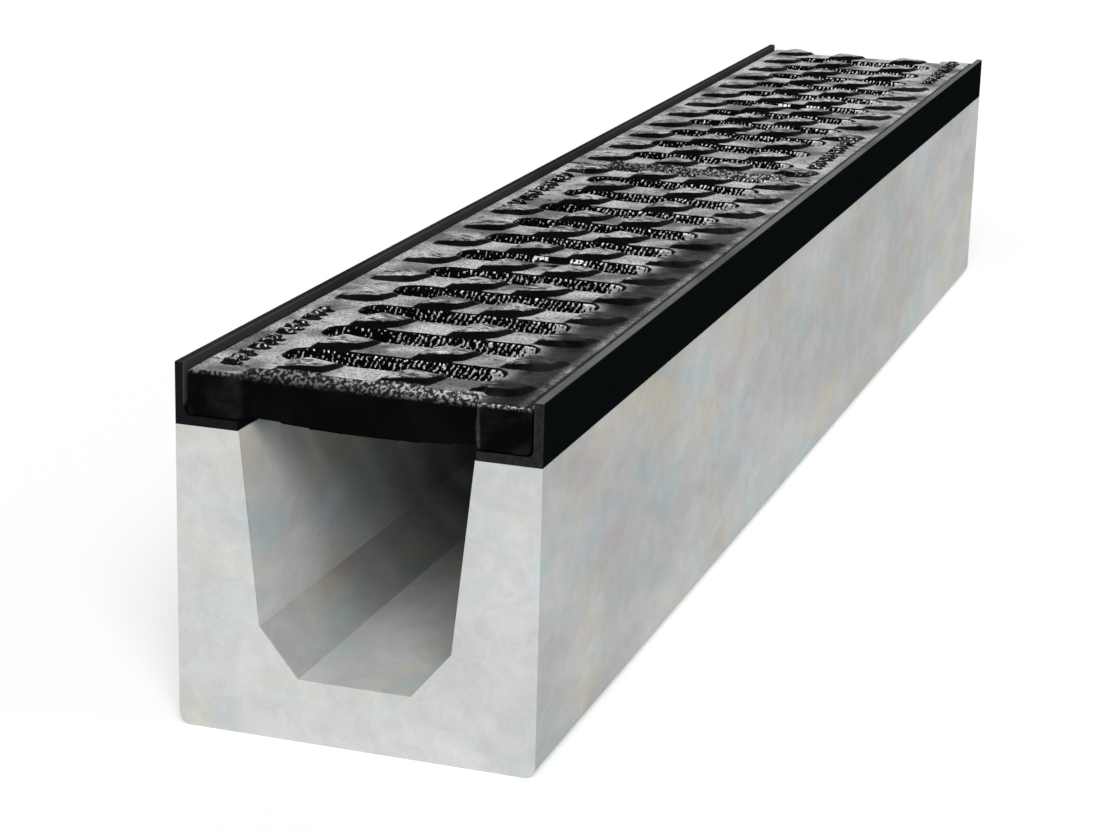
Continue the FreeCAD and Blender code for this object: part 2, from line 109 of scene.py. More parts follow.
class ShaderGraph:
    """Adds and links the nodes of one material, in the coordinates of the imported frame."""

    def __init__(self, name: str) -> None:
        """Start a material with one principled shader.

        Args:
            name: the material's name.
        """
        self.material = bpy.data.materials.new(name)
        self.material.use_nodes = True
        self.tree = self.material.node_tree
        self.shader = self.tree.nodes["Principled BSDF"]
        self.place = self.tree.nodes.new("ShaderNodeTexCoord").outputs["Object"]

    def put(self, socket: Socket, value: Union[Socket, float, tuple]) -> None:
        """Give an input a link or a fixed value.

        Args:
            socket: the input.
            value: another node's output, or the fixed value.
        """
        if isinstance(value, bpy.types.NodeSocket):
            self.tree.links.new(value, socket)
        else:
            socket.default_value = value

    def set(self, **values: Union[Socket, float, tuple]) -> None:
        """Set inputs of the principled shader.

        Args:
            values: input names in lower case with underscores, and what they get.
        """
        by_word = {socket.name.lower().replace(" ", "_"): socket for socket in self.shader.inputs}
        for word, value in values.items():
            self.put(by_word[word], value)

    def noise(self, clouds: Clouds) -> Socket:
        """A cloud pattern from 0 to 1.

        Args:
            clouds: what the pattern is like.

        Returns:
            The pattern's value.
        """
        stretched = self.tree.nodes.new("ShaderNodeVectorMath")
        stretched.operation = "MULTIPLY"
        self.put(stretched.inputs[0], self.place)
        self.put(stretched.inputs[1], clouds.stretch)
        node = self.tree.nodes.new("ShaderNodeTexNoise")
        self.put(node.inputs["Vector"], stretched.outputs[0])
        self.put(node.inputs["Scale"], 1.0 / clouds.size)
        self.put(node.inputs["Detail"], clouds.detail)
        self.put(node.inputs["Distortion"], clouds.distortion)
        return node.outputs["Fac"]

    def cells(self, size: float) -> tuple[Socket, Socket]:
        """A pattern of cells.

        Args:
            size: how wide one cell is, in metres.

        Returns:
            The distance from each cell's middle, and a random value for each cell.
        """
        node = self.tree.nodes.new("ShaderNodeTexVoronoi")
        self.put(node.inputs["Vector"], self.place)
        self.put(node.inputs["Scale"], 1.0 / size)
        return node.outputs["Distance"], self.part(node.outputs["Color"], 0)

    def part(self, vector: Socket, axis: int) -> Socket:
        """One component of a vector or colour.

        Args:
            vector: the vector.
            axis: 0, 1 or 2.

        Returns:
            The component.
        """
        node = self.tree.nodes.new("ShaderNodeSeparateXYZ")
        self.put(node.inputs[0], vector)
        return node.outputs[axis]

    def axes(self) -> list[Socket]:
        """The place across and along the channel and its height."""
        return [self.part(self.place, axis) for axis in range(3)]

    def facing(self, axis: int) -> Socket:
        """How far the surface faces along an axis, from -1 to 1."""
        return self.part(self.tree.nodes.new("ShaderNodeNewGeometry").outputs["Normal"], axis)

    def reckon(self, operation: str, first: Value, second: Value = 0.0) -> Socket:
        """The result of one Math node.

        Args:
            operation: the node's operation.
            first: the first value.
            second: the second value, for an operation that takes two.

        Returns:
            The result.
        """
        node = self.tree.nodes.new("ShaderNodeMath")
        node.operation = operation
        self.put(node.inputs[0], first)
        self.put(node.inputs[1], second)
        return node.outputs[0]

    def absolute(self, value: Value) -> Socket:
        """A value without its sign."""
        return self.reckon("ABSOLUTE", value)

    def plus(self, first: Value, second: Value) -> Socket:
        """The sum of two values."""
        return self.reckon("ADD", first, second)

    def minus(self, first: Value, second: Value) -> Socket:
        """The first value less the second."""
        return self.reckon("SUBTRACT", first, second)

    def larger(self, first: Value, second: Value) -> Socket:
        """The larger of two values."""
        return self.reckon("MAXIMUM", first, second)

    def times(self, *values: Value) -> Socket:
        """The product of several values.

        Args:
            values: two values or more.

        Returns:
            The product.
        """
        product = values[0]
        for value in values[1:]:
            product = self.reckon("MULTIPLY", product, value)
        return product

    def band(self, value: Socket, low: float, high: float, start: Value = 0.0, end: Value = 1.0) -> Socket:
        """A soft step.

        Args:
            value: what is stepped.
            low: where the step starts.
            high: where it ends.
            start: the result before the step.
            end: the result after it.

        Returns:
            The stepped value.
        """
        node = self.tree.nodes.new("ShaderNodeMapRange")
        node.interpolation_type = "SMOOTHSTEP"
        for name, number in (("Value", value), ("From Min", low), ("From Max", high),
                             ("To Min", start), ("To Max", end)):
            self.put(node.inputs[name], number)
        return node.outputs[0]

    def blend(self, share: Socket, first: Union[Socket, Colour], second: Union[Socket, Colour]) -> Socket:
        """A blend of two colours.

        Args:
            share: how much of the second colour shows.
            first: the first colour.
            second: the second colour.

        Returns:
            The blended colour.
        """
        node = self.tree.nodes.new("ShaderNodeMix")
        node.data_type = "RGBA"
        self.put(node.inputs[0], share)
        for index, colour in ((6, first), (7, second)):
            fixed = not isinstance(colour, bpy.types.NodeSocket)
            self.put(node.inputs[index], (*colour, 1.0) if fixed else colour)
        return node.outputs[2]

    def shaded(self, colour: Socket, shade: Socket) -> Socket:
        """A colour made lighter or darker.

        Args:
            colour: the colour.
            shade: what it is multiplied by.

        Returns:
            The shaded colour.
        """
        node = self.tree.nodes.new("ShaderNodeVectorMath")
        node.operation = "SCALE"
        self.put(node.inputs[0], colour)
        self.put(node.inputs["Scale"], shade)
        return node.outputs[0]

    def bump(self, *layers: tuple[Socket, float]) -> None:
        """Lay bump patterns over each other and give them to the shader.

        Args:
            layers: each pattern with its full height in metres.
        """
        normal = None
        for height, reach in layers:
            node = self.tree.nodes.new("ShaderNodeBump")
            self.put(node.inputs["Distance"], reach)
            self.put(node.inputs["Height"], height)
            if normal:
                self.put(node.inputs["Normal"], normal)
            normal = node.outputs["Normal"]
        self.put(self.shader.inputs["Normal"], normal)


@dataclass(frozen=True)
class Concrete:
    """Pale cast concrete with soft clouds of tint and sand grain, and painted shade that darkens it deep in
    the trough.
    """

    # colours
    grey: Colour = (0.580, 0.585, 0.580)
    warm: Colour = (0.595, 0.565, 0.480)
    cool: Colour = (0.500, 0.575, 0.585)
    rosy: Colour = (0.560, 0.525, 0.550)
    pore: Colour = (0.420, 0.420, 0.400)
    # clouds of tint, which are weaker on the ends
    warm_clouds: Clouds = Clouds(0.0360, 3.0, (1.0, 0.45, 1.0), 0.5)
    rosy_clouds: Clouds = Clouds(0.0252, 3.0, (0.9, 0.40, 1.1), 0.4)
    cool_clouds: Clouds = Clouds(0.0324, 3.0, (1.1, 0.40, 1.2), 0.6)
    warm_share: Band = (0.47, 0.72)
    rosy_share: Band = (0.50, 0.74)
    cool_share: Band = (0.47, 0.70)
    end_strength: Band = (0.5, 0.8, 1.0, 0.5)
    # changes of shade
    smear_clouds: Clouds = Clouds(0.0108, 6.0, (1.0, 0.60, 1.0), 0.8)
    drift_clouds: Clouds = Clouds(0.0468, 3.0, (0.8, 0.40, 1.0), 0.3)
    grain_clouds: Clouds = Clouds(0.0011, 3.0)
    smear_shade: Band = (0.25, 0.75, 0.93, 1.05)
    drift_shade: Band = (0.30, 0.70, -0.12, 0.06)
    grain_shade: Band = (0.20, 0.80, 0.965, 1.035)
    dullness: Band = (0.2, 0.8, 0.78, 0.92)
    gloss: float = 0.25
    # pores and relief
    pore_spacing: float = 0.011
    pore_rim: Band = (0.02, 0.06, 1.0, 0.0)
    pore_chance: Band = (0.84, 0.86)
    pore_share: float = 0.6
    pore_depth: float = 0.40 * MM
    smear_height: float = 0.25 * MM
    grain_height: float = 0.10 * MM
    # painted shade in the trough, over how far the surface faces up and over the distance from the nearer
    # end, and painted light on the walls at its mouth
    half_length: float = 0.5
    trough_half_width: float = 0.0515
    trough_floor: float = 0.028
    wall_facing: Band = (0.20, 0.40, 1.0, 0.0)
    floor_facing: Band = (0.75, 0.90)
    past_end: Band = (0.5 * MM, 1.5 * MM)
    wall_painted_shade: Band = (0.070, 0.290, 0.0, 0.72)
    slope_painted_shade: Band = (0.035, 0.100, 0.24, 0.53)
    floor_painted_shade: Band = (0.015, 0.100, 0.0, 0.28)
    mouth_painted_light: Band = (0.020, 0.090, 0.16, 0.0)

    def tint(self, graph: ShaderGraph, strength: Socket) -> Socket:
        """The clouds of colour.

        Args:
            graph: the material's nodes.
            strength: how strong the clouds are.

        Returns:
            The clouded colour.
        """
        colour = self.grey
        for clouds, share, tint in ((self.warm_clouds, self.warm_share, self.warm),
                                    (self.rosy_clouds, self.rosy_share, self.rosy),
                                    (self.cool_clouds, self.cool_share, self.cool)):
            cloud = graph.band(graph.noise(clouds), *share)
            colour = graph.blend(graph.times(cloud, strength), colour, tint)
        return colour

    def painted_trough_shade(self, graph: ShaderGraph) -> Socket:
        """The painted shade in the trough: more further in and on its sloped corners, with painted light on
        the walls at its mouth.

        Args:
            graph: the material's nodes.

        Returns:
            The painted shade, which is below 0 where painted light makes the wall paler.
        """
        across, along, height = graph.axes()
        inside = graph.times(
            graph.band(graph.absolute(across), self.trough_half_width, self.trough_half_width + MM, 1.0, 0.0),
            graph.band(height, self.trough_floor - MM, self.trough_floor - 0.2 * MM))
        inward = graph.minus(self.half_length, graph.absolute(along))
        upward = graph.facing(2)
        steep = graph.band(upward, *self.wall_facing)
        level = graph.band(upward, *self.floor_facing)
        sloped = graph.minus(graph.minus(1.0, steep), level)
        # painted shade on the sloped corners and the floor, growing further in
        low_shade = graph.plus(graph.times(sloped, graph.band(inward, *self.slope_painted_shade)),
                           graph.times(level, graph.band(inward, *self.floor_painted_shade)))
        # painted shade that grows further into the trough
        deep = graph.larger(graph.band(inward, *self.wall_painted_shade), low_shade)
        # painted light on the walls at the mouth
        pale = graph.times(steep, graph.band(inward, *self.mouth_painted_light))
        return graph.times(inside, graph.band(inward, *self.past_end), graph.minus(deep, pale))

    def material(self) -> bpy.types.Material:
        """Make the finish.

        Returns:
            The material.
        """
        graph = ShaderGraph("cast_concrete")
        smear = graph.noise(self.smear_clouds)
        grain = graph.noise(self.grain_clouds)
        strength = graph.band(graph.absolute(graph.facing(1)), *self.end_strength)
        drift = graph.times(graph.band(graph.noise(self.drift_clouds), *self.drift_shade), strength)
        # the painted shade in the trough is taken off the colour here
        shade = graph.times(graph.band(smear, *self.smear_shade), graph.plus(drift, 1.0),
                            graph.band(grain, *self.grain_shade), graph.minus(1.0, self.painted_trough_shade(graph)))
        middle, chance = graph.cells(self.pore_spacing)
        pores = graph.times(graph.band(middle, *self.pore_rim), graph.band(chance, *self.pore_chance))
        colour = graph.shaded(self.tint(graph, strength), shade)
        colour = graph.blend(graph.times(pores, self.pore_share), colour, self.pore)
        graph.set(base_color=colour, roughness=graph.band(smear, *self.dullness),
                  specular_ior_level=self.gloss)
        graph.bump((smear, self.smear_height), (grain, self.grain_height), (pores, -self.pore_depth))
        return graph.material


@dataclass(frozen=True)
class RailPaint:
    """Dull black paint on steel: a painted highlight along the lip, painted light on the inner face, grey
    sawn ends.
    """

    # colours
    black: Colour = (0.0040, 0.0052, 0.0056)
    lip_highlight: Colour = (0.200, 0.203, 0.203)
    inner_light: Colour = (0.060, 0.061, 0.061)
    sawn: Colour = (0.024, 0.025, 0.026)
    # noise patterns, and their height as relief
    streak_clouds: Clouds = Clouds(0.0120, 4.0, (1.0, 0.12, 1.0))
    speckle_clouds: Clouds = Clouds(0.0016, 3.0)
    streak_height: float = 0.06 * MM
    speckle_height: float = 0.05 * MM
    dullness: Band = (0.3, 0.7, 0.50, 0.66)
    # the painted highlight along the lip, strongest on the right rail
    lip_height: float = 0.1600
    lip_depth: float = 0.0007
    lip_highlight_streaks: Band = (0.30, 0.62, 0.55, 1.0)
    lip_highlight_sides: Band = (-0.01, 0.01, 0.15, 1.0)
    # painted light on the inner face above the ledge
    inner_face: float = 0.0760
    inner_depth: Band = (0.2 * MM, 0.6 * MM, 1.0, 0.0)
    inner_light_streaks: Band = (0.25, 0.65, 0.6, 1.0)
    ledge_height: float = 0.1400
    ledge_fade: float = 0.0040
    # the sawn ends, grey bare steel, kept darker on the left rail as painted shade
    run_end: float = 0.5
    end_depth: Band = (0.1 * MM, 0.4 * MM, 1.0, 0.0)
    end_wear: Band = (0.3, 0.7, 0.5, 1.0)
    end_sides: Band = (-0.01, 0.01, 0.3, 1.0)

    def material(self) -> bpy.types.Material:
        """Make the finish.

        Returns:
            The material.
        """
        graph = ShaderGraph("rail_paint")
        streaks = graph.noise(self.streak_clouds)
        speckle = graph.noise(self.speckle_clouds)
        side, along, height = graph.axes()
        from_inner = graph.minus(graph.absolute(side), self.inner_face)
        from_end = graph.minus(self.run_end, graph.absolute(along))
        # painted highlight along the lip, strongest on the right rail
        lip = graph.times(graph.band(height, self.lip_height - self.lip_depth, self.lip_height),
                          graph.band(streaks, *self.lip_highlight_streaks), graph.band(side, *self.lip_highlight_sides))
        # painted light on the inner face, which lies in shade
        inner = graph.times(graph.band(from_inner, *self.inner_depth),
                            graph.band(height, self.ledge_height, self.ledge_height + self.ledge_fade),
                            graph.band(streaks, *self.inner_light_streaks))
        # grey sawn ends, held darker on the left rail as painted shade
        ends = graph.times(graph.band(from_end, *self.end_depth), graph.band(speckle, *self.end_wear),
                           graph.band(side, *self.end_sides))
        colour = graph.blend(ends, graph.blend(inner, self.black, self.inner_light), self.sawn)
        colour = graph.blend(lip, colour, self.lip_highlight)
        graph.set(base_color=colour, roughness=graph.band(streaks, *self.dullness), specular_ior_level=0.0)
        graph.bump((streaks, self.streak_height), (speckle, self.speckle_height))
        return graph.material


@dataclass(frozen=True)
class CastIron:
    """Black coated cast iron: pale where it faces up with painted sheen and wear, black on its flanks, with
    painted highlights glinting in its slots.
    """

    # colours and gloss
    black: Colour = (0.0008, 0.0009, 0.0010)
    scuffed: Colour = (0.0115, 0.0118, 0.0120)
    sheen_and_wear: Colour = (0.740, 0.745, 0.750)
    dull: Colour = (0.220, 0.222, 0.225)
    bright: Colour = (0.92, 0.92, 0.91)
    sheen_and_wear_grain: Band = (0.30, 0.60)
    glint_grain: Band = (0.22, 0.44)
    sheen_and_wear_metal: float = 0.25
    dullness: Band = (0.25, 0.75, 0.42, 0.60)
    gloss: float = 0.02
    # noise patterns, and their height as relief
    grain_clouds: Clouds = Clouds(0.0012, 3.0)
    patch_clouds: Clouds = Clouds(0.0260, 4.0, distortion=0.4)
    pit_clouds: Clouds = Clouds(0.0026, 2.0, (0.6, 1.0, 1.0))
    rim_highlight_clouds: Clouds = Clouds(0.0015, 3.0)
    stroke_clouds: Clouds = Clouds(0.0012, 2.0, (1.0, 1.0, 0.75))
    sway_clouds: Clouds = Clouds(0.0078)
    speck_clouds: Clouds = Clouds(0.0015)
    crest_clouds: Clouds = Clouds(0.0030, 3.0, (0.35, 1.3, 1.0))
    patch_height: float = 0.25 * MM
    grain_height: float = 0.20 * MM
    glint_height: float = 0.30 * MM
    # places on the castings
    wall_top: float = 0.157
    slot_half_length: float = 0.0485
    stud_side: float = 0.054
    stud_edge: float = 0.001
    inner_studs: Band = (0.150, 0.152, 1.0, 0.0)
    outer_studs: Band = (0.376, 0.378)
    flange_edge: float = 0.0735
    bolt_along: float = 0.25
    run_end: float = 0.5
    # the scuffed coat, which is blacker between the slots
    scuff_patches: Band = (0.40, 0.62)
    scuff_sides: Pair = (0.12, 1.0)
    # the pale top, painted sheen and wear: over its facing and above the slot walls, with painted shade past
    # the slots' ends, a painted highlight in from the flange's edge and a painted shadow at it
    sheen_and_wear_facing: Band = (0.92, 0.98)
    sheen_and_wear_patches: Band = (0.34, 0.64, 0.25, 1.0)
    pit_rim: Band = (0.0, 0.07, 0.15, 1.0)
    pit_levels: Band = (0.7 * MM, 1.6 * MM, 0.30, 0.42)
    stud_pit_levels: Band = (0.7 * MM, 1.6 * MM, 0.0, 0.12)
    shaded_across: Band = (-6 * MM, 9 * MM)
    shaded_along: Band = (-0.20, -0.06, 1.0, 0.0)
    rim_highlight: Band = (3 * MM, 7 * MM, 0.60, 0.08)
    rim_highlight_specks: Band = (0.35, 0.60, 0.4, 1.0)
    gap_shadow: Band = (1.6 * MM, 2.4 * MM, 0.05, 1.0)
    # painted highlights in strokes: over the wall's facing, down from its top, in from the slot's right end
    # and out from the bolt
    stroke_pitch: float = 0.0026
    stroke_lean: float = 0.55
    stroke_sway: float = 12.0
    stroke_share: float = 0.12
    stroke_gaps: Pair = (0.65, 0.57)
    stroke_rim: Band = (0.0, 0.08)
    wall_facing: Band = (0.25, 0.55, 1.0, 0.0)
    wall_head: Band = (-0.2 * MM, 0.3 * MM)
    wall_foot: Band = (11 * MM, 16 * MM, 1.0, 0.0)
    end_wall: Band = (12 * MM, 14 * MM)
    slot_end_gap: Band = (2 * MM, 4 * MM, -0.30, 0.22)
    slot_end_patch: Band = (8 * MM, 11 * MM, 1.0, 0.0)
    bolt_slot: Band = (10 * MM, 12 * MM, 1.0, 0.0)
    bolt_gap: Band = (4 * MM, 6 * MM, -0.30, 0.20)
    bolt_patch: Band = (13 * MM, 15 * MM, 1.0, 0.0)
    # painted highlights in specks: over the rim's facing and share of its depth, and above the slot walls on
    # studs and pads
    end_rim: Band = (14 * MM, 16 * MM, 1.0, 0.0)
    rim_depths: Pair = (6 * MM, 2 * MM)
    rim_sides: Pair = (0.25, 0.60)
    rim_underside: Band = (-0.2, 0.0)
    rim_top: Band = (0.86, 0.96, 1.0, 0.0)
    rim_start: Band = (-0.15, 0.0)
    rim_fade: Band = (0.0, 1.0, 1.0, 0.0)
    rim_specks: Band = (0.46, 0.62, 0.06, 1.0)
    lug_facing: Band = (-0.80, -0.50, 0.08, 0.0)
    lug_specks: Band = (0.30, 0.60, 0.5, 1.0)
    stud_heights: Band = (0.7 * MM, 1.2 * MM)
    stud_specks: Band = (0.56, 0.66, 0.0, 0.6)
    crest_heights: Band = (1.7 * MM, 2.5 * MM)
    crest_facing: Band = (0.86, 0.96)
    crest_streaks: Band = (0.57, 0.67, 0.0, 0.7)

    def stud_ground(self, graph: ShaderGraph) -> Socket:
        """The stretches with studs, on the left of the front casting and on the right of the rear one.

        Args:
            graph: the material's nodes.

        Returns:
            1 on these stretches and otherwise 0.
        """
        across, along, _ = graph.axes()
        side = graph.times(across, graph.reckon("SIGN", along))
        length = graph.absolute(along)
        stretches = graph.larger(graph.band(length, *self.inner_studs), graph.band(length, *self.outer_studs))
        return graph.times(graph.band(side, self.stud_side, self.stud_side + self.stud_edge), stretches)

    def sheen_and_wear_share(self, graph: ShaderGraph, upward: Socket, patches: Socket) -> Socket:
        """Where the top is pale with painted sheen and wear: on what faces up, less in pits, with painted
        shade on the near right flange, a painted highlight along its rim and a painted shadow by the rails.

        Args:
            graph: the material's nodes.
            upward: how far the surface faces up.
            patches: slow changes over the casting.

        Returns:
            The share of sheen and wear from 0 to 1.
        """
        across, along, height = graph.axes()
        above = graph.minus(height, self.wall_top)
        past_slots = graph.minus(across, self.slot_half_length)
        from_edge = graph.minus(self.flange_edge, across)
        pitted = graph.plus(graph.band(above, *self.pit_levels),
                            graph.times(self.stud_ground(graph), graph.band(above, *self.stud_pit_levels)))
        pits = graph.band(graph.minus(graph.noise(self.pit_clouds), pitted), *self.pit_rim)
        # painted shade on the near right flange, with a painted highlight along its rim
        shaded = graph.times(graph.band(past_slots, *self.shaded_across),
                             graph.band(along, *self.shaded_along))
        lit_rim = graph.times(graph.band(from_edge, *self.rim_highlight),
                                 graph.band(graph.noise(self.rim_highlight_clouds), *self.rim_highlight_specks))
        # painted shadow at the flange's edge by the rail
        return graph.times(graph.band(upward, *self.sheen_and_wear_facing), pits,
                           graph.band(shaded, 0.0, 1.0, 1.0, lit_rim), graph.band(from_edge, *self.gap_shadow),
                           graph.band(patches, *self.sheen_and_wear_patches))

    def strokes(self, graph: ShaderGraph, upward: Socket) -> Socket:
        """Painted highlights in bright leaning strokes down the slot walls, closer towards the right and
        beside the bolt.

        Args:
            graph: the material's nodes.
            upward: how far the surface faces up.

        Returns:
            The strokes from 0 to 1.
        """
        across, along, height = graph.axes()
        off_middle, length = graph.absolute(across), graph.absolute(along)
        depth = graph.minus(self.wall_top, height)
        wall = graph.times(graph.band(graph.absolute(upward), *self.wall_facing),
                           graph.band(graph.minus(self.run_end, length), *self.end_wall),
                           graph.band(depth, *self.wall_head), graph.band(depth, *self.wall_foot))
        from_end = graph.minus(self.slot_half_length, across)
        right_end = graph.times(graph.band(from_end, *self.slot_end_gap),
                                graph.band(from_end, *self.slot_end_patch))
        from_bolt = graph.absolute(graph.minus(length, self.bolt_along))
        beside = graph.times(graph.band(from_bolt, *self.bolt_slot), graph.band(off_middle, *self.bolt_gap),
                             graph.band(off_middle, *self.bolt_patch))
        gaps = graph.minus(graph.band(across, -self.slot_half_length, 0.0, *self.stroke_gaps), right_end)
        turns = graph.minus(across, graph.times(height, self.stroke_lean))
        turns = graph.plus(graph.times(turns, math.tau / self.stroke_pitch),
                           graph.times(graph.noise(self.sway_clouds), self.stroke_sway))
        pattern = graph.plus(graph.times(graph.reckon("SINE", turns), self.stroke_share),
                             graph.noise(self.stroke_clouds))
        pattern = graph.plus(pattern, beside)
        return graph.times(wall, graph.band(graph.minus(pattern, gaps), *self.stroke_rim))

    def specks(self, graph: ShaderGraph, upward: Socket) -> Socket:
        """Painted highlights: specks on the end walls' rims and on the studs, and streaks on the pads' crests
        and down the lugs.

        Args:
            graph: the material's nodes.
            upward: how far the surface faces up.

        Returns:
            The specks from 0 to 1.
        """
        across, along, height = graph.axes()
        pattern = graph.noise(self.speck_clouds)
        length = graph.absolute(along)
        at_end = graph.larger(graph.band(length, *self.end_rim),
                              graph.band(graph.minus(self.run_end, length), *self.end_rim))
        reach = graph.band(graph.absolute(across), self.slot_half_length, self.stud_side, *self.rim_depths)
        depth = graph.reckon("DIVIDE", graph.minus(self.wall_top, height), reach)
        rim = graph.times(graph.band(upward, *self.rim_underside), graph.band(upward, *self.rim_top),
                          graph.band(depth, *self.rim_start), graph.band(depth, *self.rim_fade),
                          graph.band(across, -self.slot_half_length, self.slot_half_length, *self.rim_sides),
                          graph.band(pattern, *self.rim_specks))
        streak = graph.times(graph.band(graph.facing(0), *self.lug_facing),
                             graph.band(pattern, *self.lug_specks))
        above = graph.minus(height, self.wall_top)
        on_studs = graph.times(self.stud_ground(graph), graph.band(above, *self.stud_heights),
                               graph.band(pattern, *self.stud_specks))
        on_pads = graph.times(graph.band(above, *self.crest_heights), graph.band(upward, *self.crest_facing),
                              graph.band(across, self.slot_half_length, self.stud_side, 1.0, 0.0),
                              graph.band(graph.noise(self.crest_clouds), *self.crest_streaks))
        on_ends = graph.times(at_end, graph.larger(rim, streak))
        return graph.larger(on_ends, graph.larger(on_studs, on_pads))

    def material(self) -> bpy.types.Material:
        """Make the finish.

        Returns:
            The material.
        """
        graph = ShaderGraph("cast_iron")
        upward = graph.facing(2)
        grain = graph.noise(self.grain_clouds)
        patches = graph.noise(self.patch_clouds)
        # the share of painted sheen and wear
        sheen_and_wear = self.sheen_and_wear_share(graph, upward, patches)
        # painted highlights: glints on the slot walls, rims, studs, pad crests and lugs
        glints = graph.larger(self.strokes(graph, upward), self.specks(graph, upward))
        off_middle = graph.absolute(graph.part(graph.place, 0))
        scuffs = graph.times(
            graph.band(patches, *self.scuff_patches),
            graph.band(off_middle, self.slot_half_length, self.stud_side, *self.scuff_sides))
        coat = graph.blend(scuffs, self.black, self.scuffed)
        # painted sheen and wear on what faces up
        sheen_and_wear_colour = graph.blend(graph.band(grain, *self.sheen_and_wear_grain), self.dull, self.sheen_and_wear)
        glint_colour = graph.blend(graph.band(grain, *self.glint_grain), self.dull, self.bright)
        colour = graph.blend(glints, graph.blend(sheen_and_wear, coat, sheen_and_wear_colour), glint_colour)
        graph.set(base_color=colour, metallic=graph.larger(graph.times(sheen_and_wear, self.sheen_and_wear_metal), glints),
                  roughness=graph.band(grain, *self.dullness), specular_ior_level=self.gloss)
        graph.bump((patches, self.patch_height), (grain, self.grain_height), (glints, self.glint_height))
        return graph.material


@dataclass(frozen=True)
class Steel:
    """Bare or zinc coated steel with a spangle and a few darker stains."""

    name: str
    pale: Colour
    dark: Colour
    spangle: float
    spangle_share: float = 0.45
    spangle_height: float = 0.02 * MM
    stain_clouds: Clouds = Clouds(0.014, 5.0, distortion=0.5)
    stain_share: Band = (0.50, 0.72)
    dullness: Band = (0.3, 0.7, 0.32, 0.52)
    scratch_clouds: Clouds = Clouds(0.0012, 3.0, (1.0, 0.2, 1.0))
    scratch_height: float = 0.03 * MM

    def material(self) -> bpy.types.Material:
        """Make the finish.

        Returns:
            The material.
        """
        graph = ShaderGraph(self.name)
        _, crystal = graph.cells(self.spangle)
        stains = graph.noise(self.stain_clouds)
        scratches = graph.noise(self.scratch_clouds)
        share = graph.larger(graph.times(crystal, self.spangle_share), graph.band(stains, *self.stain_share))
        graph.set(base_color=graph.blend(share, self.pale, self.dark), metallic=1.0,
                  roughness=graph.band(stains, *self.dullness))
        graph.bump((crystal, self.spangle_height), (scratches, self.scratch_height))
        return graph.material


def dress(piece: bpy.types.Object, material: bpy.types.Material) -> None:
    """Give a piece one finish in place of what it has.

    Args:
        piece: the piece or CAD node.
        material: the finish.
    """
    piece.data.materials.clear()
    piece.data.materials.append(material)


def welded_copy(name: str, source: bpy.types.Object) -> bpy.types.Object:
    """Copy a CAD node as a new piece with its doubled points joined.

    Args:
        name: the new piece's name.
        source: the CAD node.

    Returns:
        The new piece.
    """
    mesh = source.data.copy()
    mesh.name = name
    form = bmesh.new()
    form.from_mesh(mesh)
    bmesh.ops.remove_doubles(form, verts=form.verts, dist=WELD_REACH)
    form.to_mesh(mesh)
    form.free()
    piece = bpy.data.objects.new(name, mesh)
    bpy.context.scene.collection.objects.link(piece)
    return piece


def point_values(mesh: bpy.types.Mesh, name: str) -> np.ndarray:
    """Read one vector of every point of a mesh.

    Args:
        mesh: the mesh.
        name: the vector's name, co or normal.

    Returns:
        One row for each point.
    """
    values = np.empty(len(mesh.vertices) * 3, np.float32)
    mesh.vertices.foreach_get(name, values)
    return values.reshape(-1, 3)


def settle(piece: bpy.types.Object) -> None:
    """Keep what a piece's modifiers make as its plain mesh.

    Args:
        piece: the piece, which has no modifiers afterwards.
    """
    graph = bpy.context.evaluated_depsgraph_get()
    mesh = bpy.data.meshes.new_from_object(piece.evaluated_get(graph))
    mesh.name = piece.name
    piece.modifiers.clear()
    piece.data = mesh


@dataclass
class ChannelBody:
    """The concrete trough, with its sharp edges eased as a mould leaves them."""

    finish: Concrete = field(default_factory=Concrete)
    ease: float = 0.9 * MM
    steps: int = 2
    least_turn: float = 25.0

    def ease_edges(self, piece: bpy.types.Object) -> None:
        """Add the modifiers that ease the edges.

        Args:
            piece: a copy of the CAD node.
        """
        bevel = piece.modifiers.new("ease", "BEVEL")
        bevel.width = self.ease
        bevel.segments = self.steps
        bevel.limit_method = "ANGLE"
        bevel.angle_limit = math.radians(self.least_turn)
        bevel.use_clamp_overlap = True
        normals = piece.modifiers.new("flats", "WEIGHTED_NORMAL")
        normals.keep_sharp = False

    def build(self, nodes: Nodes) -> list[bpy.types.Object]:
        """Make the trough.

        Args:
            nodes: the CAD nodes by name.

        Returns:
            The new piece.
        """
        piece = welded_copy("concrete_trough", nodes["channel_body"])
        self.ease_edges(piece)
        settle(piece)
        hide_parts("channel_body")
        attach(piece, "root")
        dress(piece, self.finish.material())
        return [piece]


@dataclass
class EdgeRails:
    """The two painted steel angles, as the CAD has them."""

    finish: RailPaint = field(default_factory=RailPaint)

    def build(self, nodes: Nodes) -> list[bpy.types.Object]:
        """Paint both rails.

        Args:
            nodes: the CAD nodes by name.

        Returns:
            The rails.
        """
        rails = [nodes[f"edge_rail_{side.value}"] for side in Side]
        paint = self.finish.material()
        for rail in rails:
            dress(rail, paint)
        return rails


